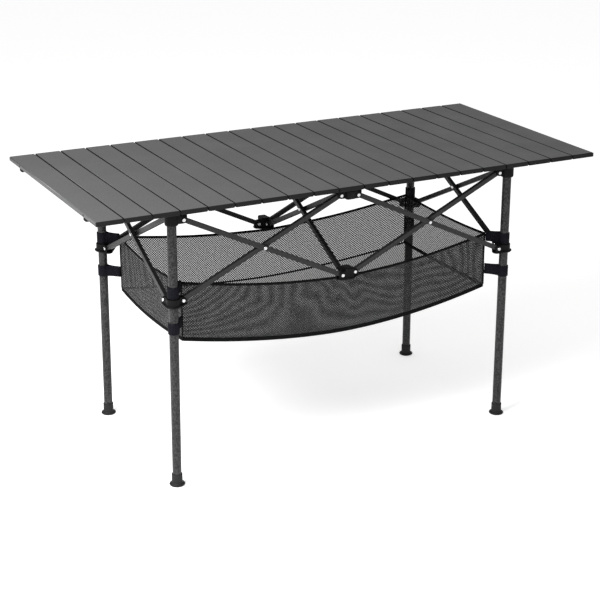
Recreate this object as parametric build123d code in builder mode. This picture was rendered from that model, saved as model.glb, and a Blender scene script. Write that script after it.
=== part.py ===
from build123d import *
import os

# Camp kitchen table: roll-up slatted top, folding scissor frame and a hanging mesh basket.
#
# The origin is the centre of the footprint on the ground. X runs along the top, Y from front to
# rear and Z up. Lengths are in millimetres.

# ---- driving dimensions ----------------------------------------------------------------------
TOP_LENGTH = 1200
TOP_WIDTH = 556
TOP_HEIGHT = 636
SLAT_COUNT = 20
SLAT_PITCH = TOP_LENGTH / SLAT_COUNT
SLAT_GAP = 2.2
SLAT_THICKNESS = 9.6
SLAT_WALL = 0.9
SLAT_CORNER = 2
CAP_THICKNESS = 3
CAP_PLUG = 12
CORD_RADIUS = 2
CORD_HOLE = 2.5
CORD_Y = 205
ANCHOR_SIZE = (12, 16, 8)
ANCHOR_INSET = 9

LEG_X = 412
LEG_Y = 208
LEG_RADIUS = 10
LEG_BORE = 8.8
LEG_BOTTOM = 4
LEG_TOP = 606
SOCKET_RADIUS = 10.05
COLLAR_BORE = 10.15
SLEEVE_RADIUS = 14.5
POST_RADIUS = 7
POST_TOP = 626

PIN_TOP_Z = 597
PIN_BOTTOM_Z = 419
PIN_REACH_LEG = 22
PIN_REACH_HUB = 18
PIN_RADIUS = 2.45
PIN_HOLE = 2.5
RIVET_HEAD = 4.4
RIVET_DOME = 2.2

BAR_HEIGHT = 11
BAR_WIDTH = 9
BAR_WALL = 1.2
BAR_OFFSET = 5
BAR_END_SOLID = 8

CHEEK = 3
CHEEK_GAP = 0.3
CHEEK_RADIUS = 7.5
COVER = 3.5
CHEEK_ROOT = 8
HUB_BLOCK = (21, 29)
HUB_RISE = 14
DISH_CENTRE = 18
DISH_TIP = 10.5

FOOT_FLANGE = 17.25
FOOT_SLEEVE = 11.8
FOOT_HEIGHT = 27

BASKET_X = 380
BASKET_Y = 176
BASKET_BULGE = (6, 20)
BASKET_WALL = 2
BASKET_TOP = (446, 415, 404)
BASKET_BOTTOM = (322, 283)
STRAP_WIDTH = 25
STRAP_THICKNESS = 1.6
STRAP_UPPER_Z = 427.5
STRAP_LOWER_Z = 348
STRAP_END = 43.5

Z_UP = Vector(0, 0, 1)
X_DIR = Vector(1, 0, 0)
Y_DIR = Vector(0, 1, 0)

CORNERS = {
    "front_left": Vector(-LEG_X, -LEG_Y, 0),
    "front_right": Vector(LEG_X, -LEG_Y, 0),
    "rear_right": Vector(LEG_X, LEG_Y, 0),
    "rear_left": Vector(-LEG_X, LEG_Y, 0),
}
HUBS = {"front": Vector(0, -LEG_Y, 0), "rear": Vector(0, LEG_Y, 0)}

# Scissor cells: name, start post, end post and the direction of travel from start to end
CELLS = [
    ("front_left", "front_left", "front", X_DIR),
    ("front_right", "front", "front_right", X_DIR),
    ("right", "front_right", "rear_right", Y_DIR),
    ("rear_right", "rear_right", "rear", -X_DIR),
    ("rear_left", "rear", "rear_left", -X_DIR),
    ("left", "rear_left", "front_left", -Y_DIR),
    ("centre", "rear", "front", -Y_DIR),
]

os.makedirs("parts", exist_ok=True)


def save(shape, name):
    """Label a finished piece and write it."""
    shape.label = name
    export_step(shape, f"parts/{name}.step")


def group(name, parts):
    """Write several loose solids as one node."""
    solids = [solid for part in parts for solid in part.solids()]
    save(Compound(label=name, children=solids), name)


def pin_reach(post, travel):
    """Distance from a post's axis to its pin: shorter on the hubs, along the length."""
    return PIN_REACH_HUB if post in HUBS and abs(travel.X) > 0.5 else PIN_REACH_LEG


def post_at(name):
    return CORNERS[name] if name in CORNERS else HUBS[name]


# ---- slatted top -----------------------------------------------------------------------------
def make_slat(number):
    """A hollow extruded slat with two ribs and a pressed-in cap at each end."""
    x = -TOP_LENGTH / 2 + SLAT_PITCH * (number - 0.5)
    z = TOP_HEIGHT - SLAT_THICKNESS / 2
    width = SLAT_PITCH - SLAT_GAP
    inner_width = width - 2 * SLAT_WALL
    inner_height = SLAT_THICKNESS - 2 * SLAT_WALL
    bay = inner_width / 3
    body_half = TOP_WIDTH / 2 - CAP_THICKNESS
    profile = Plane(origin=(x, 0, z), x_dir=(1, 0, 0), z_dir=(0, -1, 0))
    with BuildPart() as slat:
        with BuildSketch(profile):
            RectangleRounded(width, SLAT_THICKNESS, SLAT_CORNER)
            RectangleRounded(inner_width, inner_height, SLAT_CORNER - SLAT_WALL, mode=Mode.SUBTRACT)
            with Locations((-bay / 2, 0), (bay / 2, 0)):
                Rectangle(SLAT_WALL, inner_height)
        extrude(amount=body_half, both=True)
        with BuildSketch(Plane(origin=(x, 0, z), x_dir=(0, 1, 0), z_dir=(1, 0, 0))):
            with Locations((-CORD_Y, 0), (CORD_Y, 0)):
                Circle(CORD_HOLE)
        extrude(amount=width / 2, both=True, mode=Mode.SUBTRACT)
        if number in (1, SLAT_COUNT):
            with BuildSketch(Plane.XY.offset(z - SLAT_THICKNESS / 2)):
                with Locations(*anchor_points(number)):
                    Circle(CORD_HOLE)
            extrude(amount=SLAT_WALL, mode=Mode.SUBTRACT)
    caps = []
    for side in (-1, 1):
        outer = Plane(origin=(x, side * body_half, z), x_dir=(1, 0, 0), z_dir=(0, side, 0))
        with BuildPart() as cap:
            with BuildSketch(outer):
                RectangleRounded(width, SLAT_THICKNESS, SLAT_CORNER)
            extrude(amount=CAP_THICKNESS)
            fillet(cap.faces().sort_by(Axis.Y)[-1 if side > 0 else 0].edges(), 1.2)
            with BuildSketch(outer):
                Rectangle(bay - SLAT_WALL - 0.3, inner_height - 0.2)
            extrude(amount=-CAP_PLUG)
        caps.append(cap.part)
    group(f"slat_{number:02d}", [slat.part] + caps)


def anchor_points(number):
    """Where the two cords are anchored under an end slat."""
    side = -1 if number == 1 else 1
    x = side * (TOP_LENGTH / 2 - ANCHOR_INSET)
    return [(x, -CORD_Y), (x, CORD_Y)]


def make_anchors(name, number):
    """Two moulded buttons under an end slat that hold the ends of the elastic cords."""
    length, width, drop = ANCHOR_SIZE
    underside = TOP_HEIGHT - SLAT_THICKNESS
    buttons = []
    for x, y in anchor_points(number):
        with BuildPart() as button:
            with BuildSketch(Plane.XY.offset(underside - drop)):
                with Locations((x, y)):
                    RectangleRounded(length, width, 4)
            extrude(amount=drop)
            fillet(button.faces().sort_by(Axis.Z)[0].edges(), 2.5)
            with BuildSketch(Plane.XY.offset(underside)):
                with Locations((x, y)):
                    Circle(CORD_HOLE - 0.1)
            extrude(amount=SLAT_THICKNESS / 2 - CORD_RADIUS - 0.1)
        buttons.append(button.part)
    group(name, buttons)


def make_cords():
    """The elastic cords that string the slats together, one near each end of the slats."""
    z = TOP_HEIGHT - SLAT_THICKNESS / 2
    cords = []
    for y in (-CORD_Y, CORD_Y):
        with BuildPart() as cord:
            with BuildSketch(Plane(origin=(0, y, z), x_dir=(0, 1, 0), z_dir=(1, 0, 0))):
                Circle(CORD_RADIUS)
            extrude(amount=TOP_LENGTH / 2 - 2, both=True)
        cords.append(cord.part)
    group("elastic_cords", cords)


# ---- scissor bars and rivets -----------------------------------------------------------------
def make_rivet(centre, axis, grip):
    """A plain shank with a low dome at each end; grip is the length between the domes."""
    plane = Plane(origin=centre, x_dir=Z_UP, z_dir=axis)
    with BuildPart() as rivet:
        with BuildSketch(plane):
            Circle(PIN_RADIUS)
        extrude(amount=grip / 2, both=True)
        for side in (-1, 1):
            with BuildSketch(plane.offset(side * grip / 2)):
                Circle(RIVET_HEAD)
            extrude(amount=side * RIVET_DOME, taper=22)
        outer = rivet.faces().filter_by(Axis(centre, axis)).sort_by(Axis(centre, axis))
        fillet([outer[0].edge(), outer[-1].edge()], 0.9)
    return rivet.part


def make_bar(name, first, last, side, owns_cross_pin):
    """A hollow scissor bar from pin to pin, with the rivets that it carries."""
    along = (last - first).normalized()
    middle = (first + last) * 0.5
    length = (last - first).length
    plane = Plane(origin=middle, x_dir=along, z_dir=side)
    holes = [(-length / 2, 0), (0, 0), (length / 2, 0)]
    with BuildPart() as bar:
        with BuildSketch(plane):
            SlotCenterToCenter(length, BAR_HEIGHT)
        extrude(amount=BAR_WIDTH / 2, both=True)
        fillet(bar.faces().filter_by(Axis(middle, side)).edges(), 1.3)
        with BuildSketch(plane):
            Rectangle(length - 2 * BAR_END_SOLID, BAR_HEIGHT - 2 * BAR_WALL)
        extrude(amount=BAR_WIDTH / 2 - BAR_WALL, both=True, mode=Mode.SUBTRACT)
        with BuildSketch(plane):
            with Locations(*holes):
                Circle(PIN_HOLE)
        extrude(amount=BAR_WIDTH, both=True, mode=Mode.SUBTRACT)
    end_grip = BAR_WIDTH + 2 * (CHEEK + CHEEK_GAP) + 0.3
    pieces = [bar.part, make_rivet(first, side, end_grip), make_rivet(last, side, end_grip)]
    if owns_cross_pin:
        pair_grip = 2 * BAR_OFFSET + BAR_WIDTH + 0.3
        pieces.append(make_rivet(middle - side * BAR_OFFSET, side, pair_grip))
    group(name, pieces)


def make_cell(name, start, end, travel):
    """The two crossed bars of one scissor cell: a falls along the travel and b rises."""
    side = travel.cross(Z_UP)
    near = post_at(start) + travel * pin_reach(start, travel)
    far = post_at(end) - travel * pin_reach(end, travel)
    top, bottom = Z_UP * PIN_TOP_Z, Z_UP * PIN_BOTTOM_Z
    step = side * BAR_OFFSET
    make_bar(f"bar_{name}_a", near + top + step, far + bottom + step, side, True)
    make_bar(f"bar_{name}_b", near + bottom - step, far + top - step, side, False)


# ---- moulded joints on the posts -------------------------------------------------------------
def make_clevis(centre, outward, step, reach, height, cover):
    """Two cheeks with a pin hole and a plate across them, above (1) or below (-1) the bar."""
    across = outward.cross(Z_UP)
    plane = Plane(origin=centre + step + Z_UP * height, x_dir=outward, z_dir=across)
    inside = BAR_WIDTH / 2 + CHEEK_GAP
    span = reach - CHEEK_ROOT
    tip = reach + CHEEK_RADIUS
    with BuildPart() as clevis:
        for side in (-1, 1):
            with BuildSketch(plane.offset(side * inside)):
                with Locations((CHEEK_ROOT + span / 2, 0)):
                    Rectangle(span, 2 * CHEEK_RADIUS)
                with Locations((reach, 0)):
                    Circle(CHEEK_RADIUS)
                with Locations((reach + CHEEK_RADIUS / 2, cover * CHEEK_RADIUS / 2)):
                    Rectangle(CHEEK_RADIUS, CHEEK_RADIUS)
                with Locations((reach, 0)):
                    Circle(PIN_HOLE, mode=Mode.SUBTRACT)
            extrude(amount=side * CHEEK)
        with BuildSketch(plane):
            with Locations(((CHEEK_ROOT + tip) / 2, cover * (CHEEK_RADIUS + COVER / 2))):
                Rectangle(tip - CHEEK_ROOT, COVER)
        extrude(amount=inside + CHEEK, both=True)
    return clevis.part


def clevises(post, level):
    """Every clevis that one post needs at its top or bottom pins."""
    height = PIN_TOP_Z if level == "top" else PIN_BOTTOM_Z
    cover = 1 if level == "top" else -1
    found = []
    for _, start, end, travel in CELLS:
        side = travel.cross(Z_UP)
        if post == start:
            step = side * BAR_OFFSET * cover
            reach = pin_reach(post, travel)
            found.append(make_clevis(post_at(post), travel, step, reach, height, cover))
        if post == end:
            step = side * -BAR_OFFSET * cover
            reach = pin_reach(post, travel)
            found.append(make_clevis(post_at(post), -travel, step, reach, height, cover))
    return found


def on_post(centre):
    """The upright plane through a post's axis, for turned profiles."""
    return Plane(origin=centre, x_dir=(1, 0, 0), z_dir=(0, -1, 0))


def turn(centre, outline):
    """A solid of revolution about a post's axis from (radius, height) points."""
    with BuildPart() as turned:
        with BuildSketch(on_post(centre)):
            with BuildLine():
                Polyline(*outline, close=True)
            make_face()
        revolve(axis=Axis(centre, Z_UP))
    return turned.part


def make_bracket(corner):
    """The fixed moulding on top of a leg, with the post that carries the slats."""
    centre = CORNERS[corner]
    shoulder = PIN_TOP_Z + CHEEK_RADIUS + COVER
    outline = [
        (0, PIN_TOP_Z - 11),
        (SLEEVE_RADIUS - 1, PIN_TOP_Z - 11),
        (SLEEVE_RADIUS, PIN_TOP_Z - 8),
        (SLEEVE_RADIUS, shoulder),
        (POST_RADIUS + 2, shoulder + 5),
        (POST_RADIUS, shoulder + 6),
        (POST_RADIUS, POST_TOP - 1),
        (POST_RADIUS - 1, POST_TOP),
        (0, POST_TOP),
    ]
    core = turn(centre, outline)
    arms = clevises(corner, "top")
    with BuildPart() as bracket:
        add(core)
        for arm in arms:
            add(arm)
        with BuildSketch(Plane.XY.offset(LEG_TOP)):
            with Locations((centre.X, centre.Y)):
                Circle(SOCKET_RADIUS)
        extrude(amount=-60, mode=Mode.SUBTRACT)
    save(bracket.part, f"bracket_{corner}")


def make_dish(post):
    """The kite-shaped dish under a post's lower pins, wide enough to cover every clevis."""
    centre = post_at(post)
    low = PIN_BOTTOM_Z - CHEEK_RADIUS - COVER
    with BuildPart() as dish:
        with BuildSketch(Plane.XY.offset(low + COVER)):
            with Locations((centre.X, centre.Y)):
                Circle(DISH_CENTRE)
            for _, start, end, travel in CELLS:
                side = travel.cross(Z_UP)
                if post in (start, end):
                    outward = travel if post == start else -travel
                    step = side * (-BAR_OFFSET if post == start else BAR_OFFSET)
                    tip = centre + outward * (pin_reach(post, travel) + 1) + step
                    with Locations((tip.X, tip.Y)):
                        Circle(DISH_TIP)
            make_hull()
        extrude(amount=-COVER)
        chamfer(dish.faces().sort_by(Axis.Z)[0].edges(), 1.6)
    return dish.part


def make_collar(corner):
    """The moulding that slides on a leg and carries the lower ends of the bars."""
    centre = CORNERS[corner]
    base = PIN_BOTTOM_Z - CHEEK_RADIUS - COVER
    outline = [
        (COLLAR_BORE, base),
        (SLEEVE_RADIUS + 1.5, base),
        (SLEEVE_RADIUS + 3.5, base + 2),
        (SLEEVE_RADIUS + 3.5, base + COVER),
        (SLEEVE_RADIUS, base + COVER + 1),
        (SLEEVE_RADIUS, PIN_BOTTOM_Z + CHEEK_RADIUS - 1),
        (SLEEVE_RADIUS - 1, PIN_BOTTOM_Z + CHEEK_RADIUS),
        (COLLAR_BORE, PIN_BOTTOM_Z + CHEEK_RADIUS),
    ]
    ring = turn(centre, outline)
    arms = clevises(corner, "bottom")
    dish = make_dish(corner)
    with BuildPart() as collar:
        add(ring)
        add(dish)
        for arm in arms:
            add(arm)
        with BuildSketch(Plane.XY.offset(base)):
            with Locations((centre.X, centre.Y)):
                Circle(COLLAR_BORE)
        extrude(amount=2 * PIN_REACH_LEG, mode=Mode.SUBTRACT)
    save(collar.part, f"collar_{corner}")


def make_hub(post, level):
    """A middle joint, where two cells of the long side meet the centre cell."""
    centre = HUBS[post]
    arms = clevises(post, level)
    dish = make_dish(post)
    low = PIN_TOP_Z - CHEEK_RADIUS if level == "top" else PIN_BOTTOM_Z - CHEEK_RADIUS - COVER
    high = PIN_TOP_Z + CHEEK_RADIUS + COVER if level == "top" else PIN_BOTTOM_Z + HUB_RISE
    with BuildPart() as hub:
        with BuildSketch(Plane.XY.offset(low)):
            with Locations((centre.X, centre.Y)):
                RectangleRounded(*HUB_BLOCK, 5)
        extrude(amount=high - low)
        fillet(hub.faces().sort_by(Axis.Z)[-1].edges(), 2)
        for arm in arms:
            add(arm)
        if level == "top":
            with BuildSketch(Plane.XY.offset(high - 1)):
                with Locations((centre.X, centre.Y)):
                    Circle(POST_RADIUS)
            extrude(amount=POST_TOP - high + 1)
        else:
            add(dish)
    save(hub.part, f"hub_{level}_{post}")


# ---- legs and feet ---------------------------------------------------------------------------
def make_leg(corner):
    centre = CORNERS[corner]
    with BuildPart() as leg:
        with BuildSketch(Plane.XY.offset(LEG_BOTTOM)):
            with Locations((centre.X, centre.Y)):
                Circle(LEG_RADIUS)
                Circle(LEG_BORE, mode=Mode.SUBTRACT)
        extrude(amount=LEG_TOP - LEG_BOTTOM)
    save(leg.part, f"leg_{corner}")


def make_foot(corner):
    """A flanged cup with a rounded sole, pushed onto the lower end of a leg."""
    centre = CORNERS[corner]
    outline = [
        (0, 0),
        (FOOT_FLANGE - 3, 0),
        (FOOT_FLANGE - 0.9, 1.2),
        (FOOT_FLANGE, 3),
        (FOOT_FLANGE - 0.8, 4.6),
        (FOOT_FLANGE - 2.6, 5.6),
        (FOOT_SLEEVE + 1, 6.4),
        (FOOT_SLEEVE, 8),
        (FOOT_SLEEVE, FOOT_HEIGHT - 0.8),
        (FOOT_SLEEVE - 0.8, FOOT_HEIGHT),
        (SOCKET_RADIUS, FOOT_HEIGHT),
        (SOCKET_RADIUS, LEG_BOTTOM),
        (0, LEG_BOTTOM),
    ]
    save(turn(centre, outline), f"foot_{corner}")


# ---- hanging basket --------------------------------------------------------------------------
def basket_solid(inset, floor_lift, lid):
    """The basket's outer shape, pulled in by inset, with its floor raised by floor_lift."""
    bulge_x, bulge_y = BASKET_BULGE
    x, y = BASKET_X, BASKET_Y
    corner_top, quarter_top, middle_top = BASKET_TOP
    corner_low, middle_low = BASKET_BOTTOM
    with BuildPart() as body:
        with BuildSketch():
            with BuildLine():
                ThreePointArc((-x, -y), (0, -y - bulge_y), (x, -y))
                ThreePointArc((x, -y), (x + bulge_x, 0), (x, y))
                ThreePointArc((x, y), (0, y + bulge_y), (-x, y))
                ThreePointArc((-x, y), (-x - bulge_x, 0), (-x, -y))
            make_face()
            if inset:
                offset(amount=-inset, kind=Kind.INTERSECTION)
        extrude(amount=TOP_HEIGHT)
        wide = x + bulge_x + 1
        low = corner_low + floor_lift
        with BuildSketch(Plane.XZ):
            with BuildLine():
                ThreePointArc((-wide, low), (0, middle_low + floor_lift), (wide, low))
                if lid:
                    Polyline((wide, low), (wide, corner_top + lid), (-wide, corner_top + lid), (-wide, low))
                else:
                    Line((wide, low), (wide, corner_top))
                    ThreePointArc((wide, corner_top), (x / 2, quarter_top), (0, middle_top))
                    ThreePointArc((0, middle_top), (-x / 2, quarter_top), (-wide, corner_top))
                    Line((-wide, corner_top), (-wide, low))
            make_face()
        extrude(amount=TOP_WIDTH, both=True, mode=Mode.INTERSECT)
    return body.part


def make_basket():
    """The open mesh basket as a thin shell that is low at the hubs and high at the legs."""
    outside = basket_solid(0, 0, 0)
    inside = basket_solid(BASKET_WALL, BASKET_WALL, 60)
    with BuildPart() as basket:
        add(outside)
        add(inside, mode=Mode.SUBTRACT)
    save(basket.part, "mesh_basket")


def make_straps():
    """Webbing tabs that loop round the legs and hold the basket's corners, two on each leg."""
    ring = LEG_RADIUS + 0.8
    tabs = []
    for centre in CORNERS.values():
        inward = Vector(-centre.X / LEG_X, -centre.Y / LEG_Y, 0).normalized()
        for z in (STRAP_LOWER_Z, STRAP_UPPER_Z):
            plane = Plane(origin=centre + Z_UP * z, x_dir=inward, z_dir=Z_UP)
            with BuildPart() as tab:
                with BuildSketch(plane):
                    Circle(ring + STRAP_THICKNESS)
                    with Locations((STRAP_END / 2, 0)):
                        Rectangle(STRAP_END, 2 * STRAP_THICKNESS)
                    Circle(ring, mode=Mode.SUBTRACT)
                extrude(amount=STRAP_WIDTH)
            tabs.append(tab.part)
    group("basket_straps", tabs)


# ---- write every piece -----------------------------------------------------------------------
for slat_number in range(1, SLAT_COUNT + 1):
    make_slat(slat_number)
make_cords()
make_anchors("cord_anchors_left", 1)
make_anchors("cord_anchors_right", SLAT_COUNT)
for cell in CELLS:
    make_cell(*cell)
for corner_name in CORNERS:
    make_leg(corner_name)
    make_foot(corner_name)
    make_bracket(corner_name)
    make_collar(corner_name)
for hub_name in HUBS:
    make_hub(hub_name, "top")
    make_hub(hub_name, "bottom")
make_basket()
make_straps()
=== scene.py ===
from math import atan2, cos, pi, radians, sin

import bpy
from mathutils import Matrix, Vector


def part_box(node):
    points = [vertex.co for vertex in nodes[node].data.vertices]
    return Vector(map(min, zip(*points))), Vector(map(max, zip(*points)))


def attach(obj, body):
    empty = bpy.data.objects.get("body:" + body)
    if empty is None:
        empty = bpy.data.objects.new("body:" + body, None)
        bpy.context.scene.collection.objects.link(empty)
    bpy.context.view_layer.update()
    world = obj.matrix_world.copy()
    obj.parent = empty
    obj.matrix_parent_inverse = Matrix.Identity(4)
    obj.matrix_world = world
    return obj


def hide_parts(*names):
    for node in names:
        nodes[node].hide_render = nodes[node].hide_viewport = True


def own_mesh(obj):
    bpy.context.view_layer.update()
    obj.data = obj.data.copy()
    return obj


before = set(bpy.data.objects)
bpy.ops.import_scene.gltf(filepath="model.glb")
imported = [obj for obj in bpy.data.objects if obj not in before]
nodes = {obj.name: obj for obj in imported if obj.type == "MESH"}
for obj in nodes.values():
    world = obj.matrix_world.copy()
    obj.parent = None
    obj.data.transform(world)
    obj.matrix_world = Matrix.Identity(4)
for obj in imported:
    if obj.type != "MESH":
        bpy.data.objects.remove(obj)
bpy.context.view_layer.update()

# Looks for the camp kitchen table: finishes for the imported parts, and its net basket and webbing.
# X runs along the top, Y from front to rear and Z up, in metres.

scene = bpy.context.scene
CORNERS = ("front_left", "front_right", "rear_left", "rear_right")
SLATS = [f"slat_{number:02d}" for number in range(1, 21)]
MM = 0.001
UP = (0, 0, 1)


def centre_of(node):
    low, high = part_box(node)
    return (low + high) / 2


LEG = {corner: centre_of(f"leg_{corner}") for corner in CORNERS}
BASKET_LOW, BASKET_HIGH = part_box("mesh_basket")


# ---- camera, floor and light -----------------------------------------------------------------
def make_camera():
    """A long lens from the front left, slightly above the top, with a small downward shift."""
    data = bpy.data.cameras.new("camera")
    data.lens = 93.24
    data.sensor_width = 36
    data.shift_y = -0.1
    data.clip_end = 100
    camera = bpy.data.objects.new("camera", data)
    camera.location = (-1.571, -3.010, 1.537)
    camera.rotation_euler = (radians(90 - 18.01), radians(-0.24), radians(-27.35))
    scene.collection.objects.link(camera)
    scene.camera = camera


def make_floor():
    mesh = bpy.data.meshes.new("floor")
    half = 12
    corners = [(-half, -half, 0), (half, -half, 0), (half, half, 0), (-half, half, 0)]
    mesh.from_pydata(corners, [], [(0, 1, 2, 3)])
    floor = bpy.data.objects.new("floor", mesh)
    scene.collection.objects.link(floor)
    material = new_material("floor_paper")
    shader = material.node_tree.nodes["Principled BSDF"]
    shader.inputs["Base Color"].default_value = (0.9, 0.9, 0.9, 1)
    shader.inputs["Roughness"].default_value = 0.9
    shader.inputs["Emission Color"].default_value = (1, 1, 1, 1)
    shader.inputs["Emission Strength"].default_value = 0.5
    mesh.materials.append(material)


def make_light(name, place, target, size, power):
    """A rectangular area light that faces a target and is not seen itself."""
    data = bpy.data.lights.new(name, "AREA")
    data.shape = "RECTANGLE"
    data.size, data.size_y = size
    data.energy = power
    light = bpy.data.objects.new(name, data)
    light.location = place
    light.visible_camera = False
    light.rotation_euler = (Vector(target) - Vector(place)).to_track_quat("-Z", "Y").to_euler()
    scene.collection.objects.link(light)


def make_world():
    world = bpy.data.worlds.new("studio")
    world.use_nodes = True
    background = world.node_tree.nodes["Background"]
    background.inputs["Color"].default_value = (1, 1, 1, 1)
    background.inputs["Strength"].default_value = 0.5
    scene.world = world
    scene.view_settings.view_transform = "Standard"


# ---- materials -------------------------------------------------------------------------------
def new_material(name):
    material = bpy.data.materials.new(name)
    material.use_nodes = True
    return material


def add_node(material, kind, **settings):
    """A node with its plain properties and, by input name, its values."""
    node = material.node_tree.nodes.new(kind)
    for key, value in settings.items():
        if hasattr(node, key):
            setattr(node, key, value)
        else:
            node.inputs[key.replace("_", " ")].default_value = value
    return node


def link(material, source, target):
    material.node_tree.links.new(source, target)


def coordinates(material, scale, kind="Object", turn=0.0):
    """Texture coordinates stretched by a scale on each axis and turned about Z."""
    place = add_node(material, "ShaderNodeTexCoord")
    mapping = add_node(material, "ShaderNodeMapping")
    mapping.inputs["Scale"].default_value = scale
    mapping.inputs["Rotation"].default_value = (0, 0, turn)
    link(material, place.outputs[kind], mapping.inputs["Vector"])
    return mapping.outputs["Vector"]


def noise(material, scale, vector, detail=4.0):
    texture = add_node(material, "ShaderNodeTexNoise", Scale=scale, Detail=detail)
    link(material, vector, texture.inputs["Vector"])
    return texture.outputs["Fac"]


def spread(material, value, low, high, start=0.3, end=0.7):
    """Map a texture's useful range onto low to high."""
    node = add_node(material, "ShaderNodeMapRange")
    for key, number in (("From Min", start), ("From Max", end), ("To Min", low), ("To Max", high)):
        node.inputs[key].default_value = number
    link(material, value, node.inputs["Value"])
    return node.outputs["Result"]


def tone(material, value, dark, light, blend=0.2):
    """Blend two colours by a texture value, within blend of its middle, and return the colour."""
    ramp = add_node(material, "ShaderNodeValToRGB")
    ramp.color_ramp.elements[0].position = 0.5 - blend
    ramp.color_ramp.elements[1].position = 0.5 + blend
    ramp.color_ramp.elements[0].color = (*dark, 1)
    ramp.color_ramp.elements[1].color = (*light, 1)
    link(material, value, ramp.inputs["Fac"])
    return ramp.outputs["Color"]


def bump(material, heights, distance):
    """Bump from several (height, strength) pairs, one after another."""
    normal = None
    for height, strength in heights:
        node = add_node(material, "ShaderNodeBump", Strength=strength, Distance=distance)
        link(material, height, node.inputs["Height"])
        if normal is not None:
            link(material, normal, node.inputs["Normal"])
        normal = node.outputs["Normal"]
    return normal


BROAD_GRAIN = 40    # how many times coarser the uneven gloss is than the grain
BROAD_RELIEF = 3    # how many times weaker its relief is


def finish_material(
    name, dark, light, vector_scale, grain, rough, relief, metallic=0.0, blend=0.2, **sockets
):
    """A finish with a mottled colour, an uneven gloss and a fine relief."""
    material = new_material(name)
    shader = material.node_tree.nodes["Principled BSDF"]
    shader.inputs["Metallic"].default_value = metallic
    for key, value in sockets.items():
        shader.inputs[key.replace("_", " ")].default_value = value
    vector = coordinates(material, vector_scale)
    fine = noise(material, grain, vector)
    broad = noise(material, grain / BROAD_GRAIN, coordinates(material, (1, 1, 1)), 3.0)
    link(material, tone(material, fine, dark, light, blend), shader.inputs["Base Color"])
    link(material, spread(material, broad, rough[0], rough[1]), shader.inputs["Roughness"])
    strength, distance = relief
    heights = [(fine, strength), (broad, strength / BROAD_RELIEF)]
    link(material, bump(material, heights, distance), shader.inputs["Normal"])
    return material


def grey(value):
    """A grey that is very slightly blue."""
    return (value, value, value * 1.02)


WAVE_SCALE = 6.2    # wave texture bands a metre, for each unit of its scale


def woven_material(name, dark, light, pitch, relief):
    """Flat woven tape: ribs along its length crossed by a fine weft, on the piece's own UVs."""
    material = new_material(name)
    shader = material.node_tree.nodes["Principled BSDF"]
    shader.inputs["Specular IOR Level"].default_value = 0.1
    vector = coordinates(material, (1, 1, 1), "UV")
    warp = add_node(material, "ShaderNodeTexWave", bands_direction="X", Scale=1 / pitch / WAVE_SCALE)
    weft = add_node(material, "ShaderNodeTexWave", bands_direction="Y", Scale=1 / pitch / WAVE_SCALE)
    for wave in (warp, weft):
        link(material, vector, wave.inputs["Vector"])
    weave = add_node(material, "ShaderNodeMath", operation="MULTIPLY")
    link(material, warp.outputs["Fac"], weave.inputs[0])
    link(material, weft.outputs["Fac"], weave.inputs[1])
    cloudy = noise(material, 60, vector)
    colour = tone(material, weave.outputs["Value"], dark, light)
    link(material, colour, shader.inputs["Base Color"])
    link(material, spread(material, cloudy, 0.72, 0.92), shader.inputs["Roughness"])
    heights = [(weave.outputs["Value"], relief), (cloudy, 0.1)]
    link(material, bump(material, heights, 0.0006), shader.inputs["Normal"])
    return material


def net_material():
    """Knitted net: dark threads round rows of small open holes."""
    material = new_material("knitted_net")
    shader = material.node_tree.nodes["Principled BSDF"]
    shader.inputs["Roughness"].default_value = 0.75
    shader.inputs["Specular IOR Level"].default_value = 0.2
    hole_pitch = 0.0043
    vector = coordinates(material, (1 / hole_pitch, 1 / hole_pitch, 1), "UV", radians(45))
    holes = add_node(
        material, "ShaderNodeTexVoronoi", voronoi_dimensions="2D", Scale=1.0, Randomness=0.12
    )
    link(material, vector, holes.inputs["Vector"])
    threads = add_node(material, "ShaderNodeMapRange")
    threads.inputs["From Min"].default_value = 0.13
    threads.inputs["From Max"].default_value = 0.43
    threads.inputs["To Min"].default_value = 0.36
    link(material, holes.outputs["Distance"], threads.inputs["Value"])
    link(material, threads.outputs["Result"], shader.inputs["Alpha"])
    fuzz = noise(material, 40, coordinates(material, (1, 1, 1)))
    link(material, tone(material, fuzz, grey(0.014), grey(0.028)), shader.inputs["Base Color"])
    link(material, bump(material, [(holes.outputs["Distance"], 0.5)], 0.0004), shader.inputs["Normal"])
    return material


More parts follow.
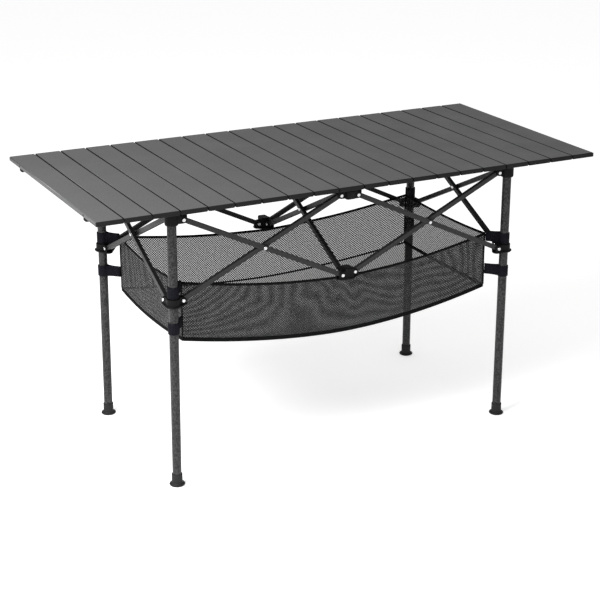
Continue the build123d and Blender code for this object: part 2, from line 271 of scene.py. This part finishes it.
def make_materials():
    plain = (1, 1, 1)
    return {
        "slat": finish_material(
            "slat_anodised", grey(0.052), grey(0.086), (3, 1.2, 3), 420, (0.4, 0.5), (0.3, 0.0002),
            0.2, Specular_IOR_Level=0.3,
        ),
        # painted shade: a near-black copy of the slat finish for the slat sides inside the gaps, where
        # shade falls
        "painted_gap_shade": finish_material(
            "gap_painted_shade", grey(0.002), grey(0.004), (3, 1.2, 3), 420, (0.6, 0.75), (0.2, 0.0002),
            Specular_IOR_Level=0.1,
        ),
        "cap": finish_material(
            "cap_plastic", grey(0.004), grey(0.009), plain, 900, (0.5, 0.65), (0.2, 0.0002),
            Specular_IOR_Level=0.14,
        ),
        "tube": finish_material(
            "tube_powder_coat", grey(0.003), grey(0.030), plain, 270, (0.34, 0.5), (0.7, 0.0005),
            0.1, blend=0.07, Specular_IOR_Level=0.3,
        ),
        "bar": finish_material(
            "bar_powder_coat", grey(0.006), grey(0.022), plain, 420, (0.34, 0.5), (0.5, 0.0004),
            0.1, Specular_IOR_Level=0.3,
        ),
        "plastic": finish_material(
            "moulded_plastic", grey(0.002), grey(0.005), plain, 1100, (0.45, 0.62), (0.3, 0.0002),
            Specular_IOR_Level=0.1,
        ),
        "rubber": finish_material(
            "foot_rubber", grey(0.006), grey(0.012), plain, 800, (0.55, 0.75), (0.3, 0.0002),
            Specular_IOR_Level=0.25,
        ),
        "rivet": finish_material(
            "rivet_steel", grey(0.55), grey(0.72), plain, 500, (0.18, 0.32), (0.1, 0.0002), 1.0
        ),
        "elastic": woven_material("elastic_braid", grey(0.006), grey(0.02), 0.0012, 0.5),
        "tape": woven_material("binding_tape", grey(0.001), grey(0.004), 0.0011, 0.5),
        "webbing": woven_material(
            "strap_webbing", (0.002, 0.002, 0.004), (0.009, 0.009, 0.015), 0.0016, 0.7
        ),
        "thread": woven_material("sewing_thread", grey(0.012), grey(0.035), 0.0004, 0.4),
        "net": net_material(),
    }


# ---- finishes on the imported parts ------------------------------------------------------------
WELD_DISTANCE = 0.01 * MM
SMOOTH_ANGLE = radians(32)
CAP_LENGTH = 3 * MM
GAP_SHADE_REACH = 2.5 * MM     # how far from a slat's side its painted gap shade runs
OUTER_EDGE = 3 * MM         # the table's own two ends, which stay pale, with no painted shade
BAR_STEP = 5 * MM           # each bar of a pair stands this far off the line of the pivots
BAR_HALF = 4.55 * MM


def dress(node, *materials):
    """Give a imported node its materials, smooth across gentle angles."""
    mesh = nodes[node].data
    mesh.materials.clear()
    for material in materials:
        mesh.materials.append(material)
    for polygon in mesh.polygons:
        polygon.material_index = 0
    weld = nodes[node].modifiers.new("weld", "WELD")
    weld.merge_threshold = WELD_DISTANCE
    mesh.shade_smooth()
    mesh.set_sharp_from_angle(angle=SMOOTH_ANGLE)
    even = nodes[node].modifiers.new("even_normals", "WEIGHTED_NORMAL")
    even.keep_sharp = True


def dress_slats():
    """Slats in anodised grey, with moulded ends, and long edges given a near-black painted shade where
    they face the gaps.
    """
    body_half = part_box("slat_01")[1].y - CAP_LENGTH
    for slat in SLATS:
        dress(slat, finish["slat"], finish["cap"], finish["painted_gap_shade"])
        left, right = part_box(slat)[0].x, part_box(slat)[1].x
        for polygon in nodes[slat].data.polygons:
            x, normal = polygon.center.x, polygon.normal
            outer = (slat == SLATS[0] and x < left + OUTER_EDGE) or (
                slat == SLATS[-1] and x > right - OUTER_EDGE
            )
            near_gap = min(x - left, right - x) < GAP_SHADE_REACH
            faces_gap = abs(normal.z) < 0.8 and abs(normal.x) > 0.1
            if near_gap and faces_gap and not outer:
                # painted shade on the slat sides that face a gap
                polygon.material_index = 2
            elif abs(polygon.center.y) > body_half + 0.05 * MM:
                polygon.material_index = 1


def dress_bars():
    """Bars in powder coat, with everything that stands off the bar's own faces as bare rivets."""
    side_line = {
        "front": (1, LEG["front_left"].y, -1), "rear": (1, LEG["rear_left"].y, 1),
        "left": (0, LEG["front_left"].x, -1), "right": (0, LEG["front_right"].x, 1),
        "centre": (0, 0.0, -1),
    }
    for node in [name for name in nodes if name.startswith("bar_")]:
        cell, rank = node[4:-2], node[-1]
        axis, line, outward = side_line[cell.split("_")[0]]
        middle = line + outward * (BAR_STEP if rank == "a" else -BAR_STEP)
        dress(node, finish["bar"], finish["rivet"])
        for polygon in nodes[node].data.polygons:
            if abs(polygon.center[axis] - middle) > BAR_HALF:
                polygon.material_index = 1


def dress_frame():
    """Speckled legs, black mouldings and rubber feet."""
    for node in nodes:
        if node.startswith("leg_"):
            dress(node, finish["tube"])
        elif node.startswith(("bracket_", "collar_", "hub_", "cord_anchors")):
            dress(node, finish["plastic"])
        elif node.startswith("foot_"):
            dress(node, finish["rubber"])


# ---- soft pieces -----------------------------------------------------------------------------
def make_piece(name, points, faces, uvs, material, body, thread_from=None):
    """A mesh piece with UVs in metres that rides on a body; its last faces may be thread."""
    mesh = bpy.data.meshes.new(name)
    mesh.from_pydata([tuple(point) for point in points], [], faces)
    layer = mesh.uv_layers.new(name="metres")
    for loop in mesh.loops:
        layer.data[loop.index].uv = uvs[loop.vertex_index]
    mesh.materials.append(material)
    mesh.shade_smooth()
    if thread_from is not None:
        mesh.materials.append(finish["thread"])
        for polygon in mesh.polygons[thread_from:]:
            polygon.material_index = 1
    piece = bpy.data.objects.new(name, mesh)
    scene.collection.objects.link(piece)
    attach(piece, body)
    return piece


def grid_piece(name, surface, columns, rows, size, material, body):
    """A sheet from surface(s, t) with s and t from 0 to 1."""
    points, uvs = [], []
    for j in range(rows + 1):
        for i in range(columns + 1):
            s, t = i / columns, j / rows
            points.append(surface(s, t))
            uvs.append((s * size[0], t * size[1]))
    width = columns + 1
    faces = [
        (j * width + i, j * width + i + 1, (j + 1) * width + i + 1, (j + 1) * width + i)
        for j in range(rows) for i in range(columns)
    ]
    return make_piece(name, points, faces, uvs, material, body)


def ribbon_mesh(path, across, width, thickness, closed=False):
    """Points, faces and UVs of a flat tape with soft edges that follows a path."""
    half_w, half_t = width / 2, thickness / 2
    soft = min(half_t, 0.8 * MM)
    section = [
        (-half_w, -half_t + soft), (-half_w + soft, -half_t), (0, -half_t), (half_w - soft, -half_t),
        (half_w, -half_t + soft), (half_w, half_t - soft), (half_w - soft, half_t), (0, half_t),
        (-half_w + soft, half_t), (-half_w, half_t - soft),
    ]
    points, uvs, faces = [], [], []
    run = 0.0
    count = len(path)
    for i, place in enumerate(path):
        ahead = path[min(i + 1, count - 1)]
        behind = path[max(i - 1, 0)]
        if closed:
            ahead, behind = path[(i + 1) % count], path[i - 1]
        tangent = (ahead - behind).normalized()
        wide = Vector(across)
        thick = tangent.cross(wide).normalized()
        wide = thick.cross(tangent).normalized()
        run += (place - path[i - 1]).length if i else 0.0
        for a, b in section:
            points.append(place + wide * a + thick * b)
            uvs.append((a, run))
    ring = len(section)
    for i in range(count if closed else count - 1):
        j = (i + 1) % count
        for k in range(ring):
            n = (k + 1) % ring
            faces.append((i * ring + k, i * ring + n, j * ring + n, j * ring + k))
    if not closed:
        faces.append(tuple(range(ring))[::-1])
        faces.append(tuple((count - 1) * ring + k for k in range(ring)))
    return points, faces, uvs


# Rings of one stitch: place along it as a share of its length, and thickness
STITCH_RINGS = ((-0.5, 0.35), (0.0, 1.0), (0.5, 0.35))


def stitch_row(path, across, offset, lift, length=3.0 * MM, pitch=4.4 * MM, radius=0.3 * MM):
    """Short raised threads along a path, set off across it and lifted off the tape's face."""
    points, faces, uvs = [], [], []
    travelled, due = 0.0, pitch / 2
    for start, end in zip(path, path[1:]):
        span = (end - start).length
        tangent = (end - start).normalized()
        thick = tangent.cross(Vector(across)).normalized()
        wide = thick.cross(tangent).normalized()
        while due <= travelled + span:
            middle = start + tangent * (due - travelled) + wide * offset + thick * lift
            base = len(points)
            for share, size in STITCH_RINGS:
                for a, b in ((1, 0), (0, 1), (-1, 0), (0, -1)):
                    out = (wide * a + thick * b) * radius * size
                    points.append(middle + tangent * (length * share) + out)
                    uvs.append((a * radius, due + length * share))
            for ring in (0, 4):
                for k in range(4):
                    n = (k + 1) % 4
                    low = base + ring
                    faces.append((low + k, low + n, low + 4 + n, low + 4 + k))
            faces.append((base + 3, base + 2, base + 1, base))
            faces.append((base + 8, base + 9, base + 10, base + 11))
            due += pitch
        travelled += span
    return points, faces, uvs


def joined(meshes):
    """Several (points, faces, uvs) as one."""
    points, faces, uvs = [], [], []
    for some_points, some_faces, some_uvs in meshes:
        base = len(points)
        points += some_points
        uvs += some_uvs
        faces += [tuple(index + base for index in face) for face in some_faces]
    return points, faces, uvs


# The basket's outline, from its packed box
HALF_X = BASKET_HIGH.x - 6 * MM
HALF_Y = BASKET_HIGH.y - 20 * MM
SIDE_BULGE = 6 * MM
LONG_BULGE = 20 * MM
TOP_CORNER = BASKET_HIGH.z - 1 * MM
TOP_MIDDLE = TOP_CORNER - 41 * MM
LOW_MIDDLE = BASKET_LOW.z + 1 * MM
LOW_CORNER = LOW_MIDDLE + 38 * MM
HALF_SPAN_SAG = 8 * MM
TAPE_WIDTH = 6 * MM
TAPE_THICKNESS = 2 * MM
HEM_WIDTH = {"front": 9 * MM, "rear": 4.5 * MM, "left": 9 * MM, "right": 9 * MM}
HEM_DROP = 0.28     # how far a hem hangs below the net's edge, as a share of its width
STRAP_THICKNESS = 1.4 * MM
STRAP_HALF = 12.5 * MM
STRAP_RING = 11.6 * MM      # from a leg's axis to the middle of the strap round it
STRAP_LEAD = radians(28)    # where the loop opens towards the basket
STRAP_STEPS = 24
STRAP_TAIL = [(43, 1.0), (34, 1.1), (26, 1.4), (19, 2.4)]   # mm inwards and to the side
ELASTIC_REACH = 0.7 * MM    # each length of cord runs this far past its slat


def top_edge(u):
    """Height of the long top edges: tied up at the corners, lower at the hub, slack between."""
    reach = abs(u)
    return TOP_MIDDLE + (TOP_CORNER - TOP_MIDDLE) * reach - HALF_SPAN_SAG * sin(pi * reach)


def low_edge(u):
    return LOW_MIDDLE + (LOW_CORNER - LOW_MIDDLE) * abs(u) ** 1.8


def long_panel(side):
    """The front (-1) or rear (1) panel, bulging outwards, with folds that fan out below the hub."""
    def surface(s, t):
        u = 2 * s - 1
        x = HALF_X * u
        z = top_edge(u) * (1 - t) + low_edge(u) * t
        swell = LONG_BULGE * (1 - u * u) * (0.75 + 0.25 * t)
        fan = atan2(x, 0.05 + t * 0.12)
        folds = 2.2 * MM * sin(fan * 11 + side) * sin(pi * min(1, t * 1.15)) * (1 - abs(u)) ** 0.8
        ripple = 1.1 * MM * sin(u * 17 + 2 * t) * sin(pi * t)
        return Vector((x, side * (HALF_Y + swell + folds + ripple), z))
    return surface


def end_panel(side):
    """The left (-1) or right (1) panel."""
    def surface(s, t):
        w = 2 * s - 1
        y = HALF_Y * w
        top = TOP_CORNER - 9 * MM * (1 - w * w)
        low = LOW_CORNER - 5 * MM * (1 - w * w)
        z = top * (1 - t) + low * t
        swell = SIDE_BULGE * (1 - w * w)
        ripple = 1.5 * MM * sin(w * 9 + side + 2 * t) * sin(pi * t)
        return Vector((side * (HALF_X + swell + ripple), y, z))
    return surface


def floor_panel(side):
    """The front (-1) or rear (1) half of the bottom, which hangs a little between its edges."""
    def surface(s, w):
        u = 2 * s - 1
        y = side * (HALF_Y + LONG_BULGE * (1 - u * u)) * w
        x = (HALF_X + SIDE_BULGE * (1 - w * w)) * u
        sag = 5 * MM * (1 - w * w) * (1 - u * u)
        end_drop = 5 * MM * (1 - w * w) * abs(u) ** 6
        folds = 1.2 * MM * sin(u * 13 + w * 4) * (1 - w) * (1 - u * u)
        return Vector((x, y, low_edge(u) - sag - end_drop + folds))
    return surface


def edge_path(surface, start, end, count):
    """Points along a straight line in a panel's own s, t square."""
    found = []
    for i in range(count + 1):
        share = i / count
        s = start[0] + (end[0] - start[0]) * share
        t = start[1] + (end[1] - start[1]) * share
        found.append(surface(s, t))
    return found


def make_panel(name, surface, size, body, edges, grid, sideways=(1, 0, 0)):
    """A net panel and the tape that binds the given edges; the bottom one is a wider hem."""
    panel = grid_piece(name, surface, grid[0], grid[1], size, finish["net"], body)
    hems = [start[1] == end[1] == 1 for start, end, _ in edges]
    paths = [edge_path(surface, *edge) for edge in edges]
    hem_width = HEM_WIDTH[name.split("_")[-1]]
    for path in (path for path, hem in zip(paths, hems) if hem):
        for point in path:
            point.z -= HEM_DROP * hem_width
    directions = [
        UP if abs((path[-1] - path[0]).normalized().z) < 0.7 else sideways for path in paths
    ]
    widths = [hem_width if hem else TAPE_WIDTH for hem in hems]
    taped = list(zip(paths, directions, widths))
    tapes = [ribbon_mesh(path, wide, width, TAPE_THICKNESS) for path, wide, width in taped]
    tape_faces = sum(len(faces) for _, faces, _ in tapes)
    rows = [
        stitch_row(path, wide, -width * 0.22, side * (TAPE_THICKNESS / 2 + 0.1 * MM))
        for path, wide, width in taped for side in (-1, 1)
    ]
    points, faces, uvs = joined(tapes + rows)
    binding = make_piece(
        f"{name}_binding", points, faces, uvs, finish["tape"], body, thread_from=tape_faces
    )
    return panel, binding


def fold_piece(pieces):
    """Give each piece its own copy of its mesh."""
    for piece in pieces:
        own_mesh(piece)


def make_basket():
    """Six net panels with bound edges. Each rides on the part of the frame that it hangs on."""
    top, low = ((0, 0), (1, 0), 72), ((0, 1), (1, 1), 72)
    uprights = [((0, 0), (0, 1), 12), ((1, 0), (1, 1), 12)]
    length, width = 2 * HALF_X, 2 * HALF_Y
    for side, post in ((-1, "front"), (1, "rear")):
        body = f"hub_bottom_{post}"
        pieces = make_panel(
            f"basket_{post}", long_panel(side), (length, 0.13), body, [top, low], (120, 20)
        )
        fold_piece(pieces)
        pieces[0]
        floor_piece = grid_piece(
            f"basket_floor_{post}", floor_panel(side), 96, 22, (length, width / 2),
            finish["net"], body,
        )
        fold_piece([floor_piece])
    for side, end in ((-1, "left"), (1, "right")):
        body = f"collar_front_{end}"
        pieces = make_panel(
            f"basket_{end}", end_panel(side), (width, 0.125), body,
            [top, low] + uprights, (56, 16), (0, 1, 0),
        )
        fold_piece(pieces)
    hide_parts("mesh_basket")


def strap_path(corner, height):
    """From the basket's corner out to the leg, round it and back."""
    post = LEG[corner]
    inward = Vector((-post.x, -post.y * abs(post.x / post.y), 0)).normalized()
    sideways = Vector((-inward.y, inward.x, 0))
    centre = Vector((post.x, post.y, height))
    points = [(a * MM, b * MM) for a, b in STRAP_TAIL]
    for i in range(STRAP_STEPS + 1):
        angle = STRAP_LEAD + (2 * pi - 2 * STRAP_LEAD) * i / STRAP_STEPS
        points.append((STRAP_RING * cos(angle), STRAP_RING * sin(angle)))
    points += [(a * MM, -b * MM) for a, b in reversed(STRAP_TAIL)]
    return [centre + inward * a + sideways * b for a, b in points]


def make_straps():
    """Two straps on each leg, sewn to the basket's corner by rows of tacks."""
    low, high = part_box("basket_straps")
    lift = STRAP_THICKNESS / 2 + 0.15 * MM
    for corner in CORNERS:
        for name, height in (("lower", low.z + STRAP_HALF), ("upper", high.z - STRAP_HALF)):
            path = strap_path(corner, height)
            band = ribbon_mesh(path, UP, 2 * STRAP_HALF, STRAP_THICKNESS)
            tacks = [
                stitch_row(tail, UP, offset * STRAP_HALF, side * lift, 2.4 * MM, 3.2 * MM)
                for tail in (path[:4], path[-4:])
                for offset in (-0.85, -0.3, 0.3, 0.85) for side in (-1, 1)
            ]
            points, faces, uvs = joined([band] + tacks)
            make_piece(
                f"strap_{name}_{corner}", points, faces, uvs, finish["webbing"],
                f"collar_{corner}", thread_from=len(band[1]),
            )
    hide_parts("basket_straps")


def make_elastic():
    """The two elastic cords, in one length for each slat so that they bend at the gaps."""
    low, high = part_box("elastic_cords")
    radius = (high.z - low.z) / 2
    z = (high.z + low.z) / 2
    sides = 14
    for number, slat in enumerate(SLATS, 1):
        left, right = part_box(slat)
        x0 = max(left.x - ELASTIC_REACH, low.x)
        x1 = min(right.x + ELASTIC_REACH, high.x)
        meshes = []
        for y in (low.y + radius, high.y - radius):
            points, uvs = [], []
            for x in (x0, x1):
                for k in range(sides):
                    angle = 2 * pi * k / sides
                    points.append(Vector((x, y + radius * cos(angle), z + radius * sin(angle))))
                    uvs.append((radius * angle, x))
            faces = [(k, (k + 1) % sides, sides + (k + 1) % sides, sides + k) for k in range(sides)]
            faces += [tuple(range(sides))[::-1], tuple(range(sides, 2 * sides))]
            meshes.append((points, faces, uvs))
        points, faces, uvs = joined(meshes)
        make_piece(
            f"elastic_{number:02d}", points, faces, uvs, finish["elastic"], slat
        )
    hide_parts("elastic_cords")


# ---- put it together -------------------------------------------------------------------------
make_camera()
make_floor()
make_world()
make_light("key", (-1.45, -0.5, 1.55), (-0.5, 0, 0.6), (1.0, 1.0), 60)
make_light("front", (-0.6, -4.0, 1.8), (0, 0, 0.4), (3.0, 2.0), 34)
finish = make_materials()
dress_slats()
dress_bars()
dress_frame()
make_basket()
make_straps()
make_elastic()
